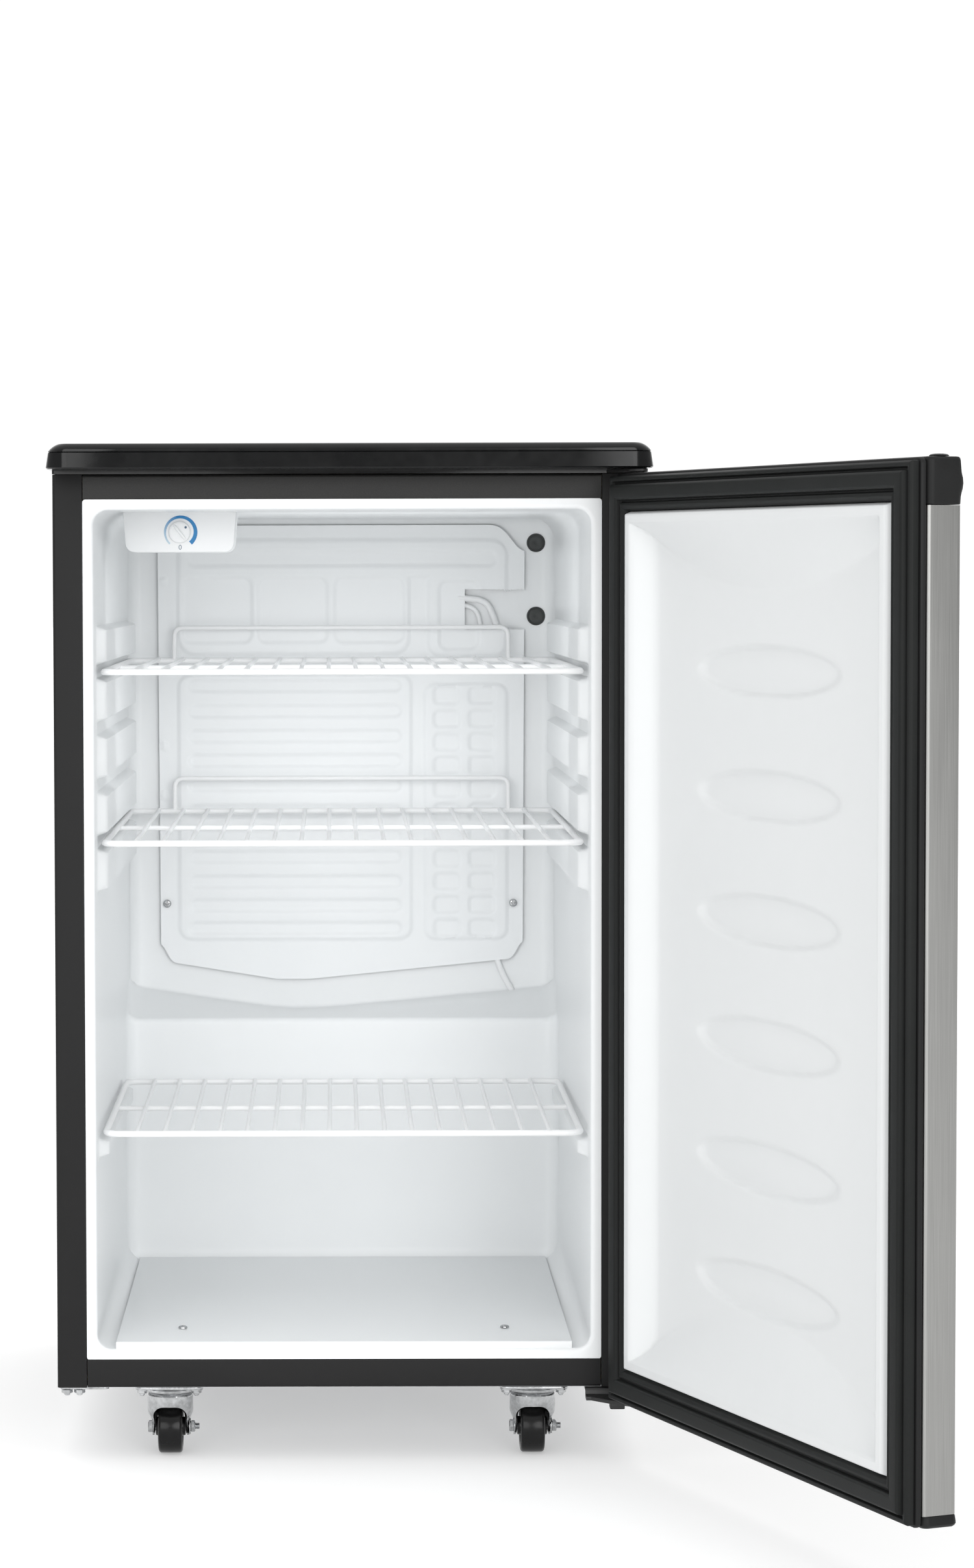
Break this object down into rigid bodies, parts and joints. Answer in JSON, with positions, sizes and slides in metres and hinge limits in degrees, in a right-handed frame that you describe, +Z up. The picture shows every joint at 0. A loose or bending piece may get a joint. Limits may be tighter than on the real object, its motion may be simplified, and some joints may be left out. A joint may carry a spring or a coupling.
{
  "type": "mini fridge",
  "caption": "Compact upright refrigerator on swivel casters, with sliding wire shelves and a foamed door hinged on the right, shown open.",
  "frame": {"origin": "on the floor, under the middle of the whole outline with the door standing open", "axes": "+Z up, -Y towards the user in front of the cabinet, +X towards the hinge side"},
  "size_m": [0.7178, 1.122, 0.8951],
  "materials": {
    "black_steel": "fine textured black powder paint",
    "grained_rail": "black paint with a light pebble grain",
    "black_gloss": "glossy black moulded plastic",
    "black_plastic": "satin black moulded plastic",
    "bracket_steel": "black enamelled steel",
    "white_liner": "white vacuum-formed plastic, semi-gloss",
    "white_wire": "thick white dipped coating",
    "evaporator_white": "white lacquer on pressed aluminium",
    "stainless": "vertical brushed grain",
    "zinc": "bright zinc plating, slightly uneven",
    "foam": "rigid insulating foam",
    "gasket": "soft black moulding with ribs",
    "galvanised": "galvanised sheet",
    "copper": "drawn copper, lightly tarnished",
    "wheel_rubber": "glossy black hard plastic tread"
  },
  "bodies": {
    "cabinet": {"condenser": "bracket_steel", "inner_liner": "white_liner", "evaporator_plate": "evaporator_white", "compressor": "bracket_steel", "cabinet_foam": "foam", "worktop": "black_gloss", "caster_front_left_plate": "zinc", "caster_front_right_plate": "zinc", "caster_rear_left_plate": "zinc", "caster_rear_right_plate": "zinc", "cord_inlet": "black_plastic", "line_plug_upper": "gasket", "line_plug_lower": "gasket", "hinge_bracket_bottom": "bracket_steel", "suction_line": "white_liner", "capillary_line": "white_liner", "hinge_bracket_top": "bracket_steel", "filter_drier": "copper", "back_panel": "galvanised", "capillary_sleeve": "white_liner", "thermostat_housing": "white_liner", "relay_cover": "black_plastic", "floor_screw_left": "zinc", "floor_screw_right": "zinc", "evaporator_screw_left": "zinc", "evaporator_screw_right": "zinc", "spare_hinge_plate": "zinc", "front_rail_bottom": "grained_rail", "front_rail_top": "grained_rail", "compressor_rail": "galvanised", "drip_pan": "black_plastic", "floor_plate": "white_liner", "side_panel_left": "black_steel", "side_panel_right": "black_steel", "base_panel": "galvanised", "thermostat_body": "galvanised"},
    "door": {"door_skin": "stainless", "door_cap_top": "black_plastic", "door_cap_bottom": "black_plastic", "door_foam": "foam", "door_liner": "white_liner", "door_frame": "black_plastic", "door_gasket": "gasket", "hinge_hole_plug": "black_plastic"},
    "thermostat_knob": {"thermostat_dial": "white_liner"},
    "top_shelf": {"shelf_top": "white_wire"},
    "middle_shelf": {"shelf_middle": "white_wire"},
    "bottom_shelf": {"shelf_bottom": "white_wire"},
    "caster_front_left_swivel": {"caster_front_left_fork": "zinc", "caster_front_left_axle": "zinc"},
    "caster_front_left_roller": {"caster_front_left_wheel": "wheel_rubber"},
    "caster_front_right_swivel": {"caster_front_right_fork": "zinc", "caster_front_right_axle": "zinc"},
    "caster_front_right_roller": {"caster_front_right_wheel": "wheel_rubber"},
    "caster_rear_left_swivel": {"caster_rear_left_fork": "zinc", "caster_rear_left_axle": "zinc"},
    "caster_rear_left_roller": {"caster_rear_left_wheel": "wheel_rubber"},
    "caster_rear_right_swivel": {"caster_rear_right_fork": "zinc", "caster_rear_right_axle": "zinc"},
    "caster_rear_right_roller": {"caster_rear_right_wheel": "wheel_rubber"}
  },
  "joints": [
    {"name": "door_hinge", "type": "hinge", "parent": "cabinet", "child": "door", "pos_m": [0.15501, -0.07861, 0.465], "axis": [0, 0, 1], "range_deg": [-112, 25]},
    {"name": "thermostat_turn", "type": "hinge", "parent": "cabinet", "child": "thermostat_knob", "pos_m": [-0.24889, 0.08449, 0.821], "axis": [0, 1, 0], "range_deg": [-230, 90]},
    {"name": "top_shelf_slide", "type": "slide", "parent": "cabinet", "child": "top_shelf", "axis": [0, -1, 0], "range_m": [0, 0.3]},
    {"name": "middle_shelf_slide", "type": "slide", "parent": "cabinet", "child": "middle_shelf", "axis": [0, -1, 0], "range_m": [0, 0.3]},
    {"name": "bottom_shelf_slide", "type": "slide", "parent": "cabinet", "child": "bottom_shelf", "axis": [0, -1, 0], "range_m": [0, 0.25]},
    {"name": "caster_front_left_turn", "type": "hinge", "parent": "cabinet", "child": "caster_front_left_swivel", "pos_m": [-0.25689, -0.01651, 0.056], "axis": [0, 0, 1], "continuous": true},
    {"name": "caster_front_left_roll", "type": "hinge", "parent": "caster_front_left_swivel", "child": "caster_front_left_roller", "pos_m": [-0.25689, -0.00251, 0.0238], "axis": [1, 0, 0], "continuous": true},
    {"name": "caster_front_right_turn", "type": "hinge", "parent": "cabinet", "child": "caster_front_right_swivel", "pos_m": [0.06511, -0.01651, 0.056], "axis": [0, 0, 1], "continuous": true},
    {"name": "caster_front_right_roll", "type": "hinge", "parent": "caster_front_right_swivel", "child": "caster_front_right_roller", "pos_m": [0.06511, -0.00251, 0.0238], "axis": [1, 0, 0], "continuous": true},
    {"name": "caster_rear_left_turn", "type": "hinge", "parent": "cabinet", "child": "caster_rear_left_swivel", "pos_m": [-0.25689, 0.49949, 0.056], "axis": [0, 0, 1], "continuous": true},
    {"name": "caster_rear_left_roll", "type": "hinge", "parent": "caster_rear_left_swivel", "child": "caster_rear_left_roller", "pos_m": [-0.25689, 0.51349, 0.0238], "axis": [1, 0, 0], "continuous": true},
    {"name": "caster_rear_right_turn", "type": "hinge", "parent": "cabinet", "child": "caster_rear_right_swivel", "pos_m": [0.06511, 0.49949, 0.056], "axis": [0, 0, 1], "continuous": true},
    {"name": "caster_rear_right_roll", "type": "hinge", "parent": "caster_rear_right_swivel", "child": "caster_rear_right_roller", "pos_m": [0.06511, 0.51349, 0.0238], "axis": [1, 0, 0], "continuous": true}
  ]
}
